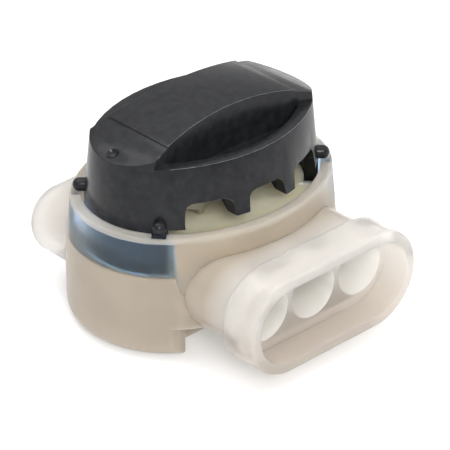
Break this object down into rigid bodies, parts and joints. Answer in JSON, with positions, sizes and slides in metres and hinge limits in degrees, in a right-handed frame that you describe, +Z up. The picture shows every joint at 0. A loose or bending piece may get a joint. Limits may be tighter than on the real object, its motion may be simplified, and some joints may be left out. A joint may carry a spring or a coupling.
{
  "type": "insulation displacement connector",
  "caption": "Three-wire gel-filled splice: translucent oval cup with a wire shroud and a black press cap that drives a slotted contact over the wires.",
  "frame": {"origin": "middle of the cup's flat base", "axes": "+Z up through the press cap, the way it is pressed reversed; -Y towards the wire entry; +X along the cup's long axis and the row of wire holes"},
  "size_m": [0.0298, 0.0325, 0.0228],
  "materials": {
    "translucent_plastic": "milky translucent polypropylene, satin moulded surface",
    "black_plastic": "black moulded plastic, satin-gloss",
    "tinned_brass": "tin-plated stamped sheet",
    "gel": "clear yellowish sealing gel"
  },
  "bodies": {
    "housing": {"housing_body": "translucent_plastic", "sealant_gel": "gel"},
    "cap": {"press_cap": "black_plastic", "contact_element": "tinned_brass"}
  },
  "joints": [
    {"name": "cap_press", "type": "slide", "parent": "housing", "child": "cap", "axis": [0, 0, -1], "range_m": [0, 0.00645], "deforming": ["sealant_gel"]}
  ]
}
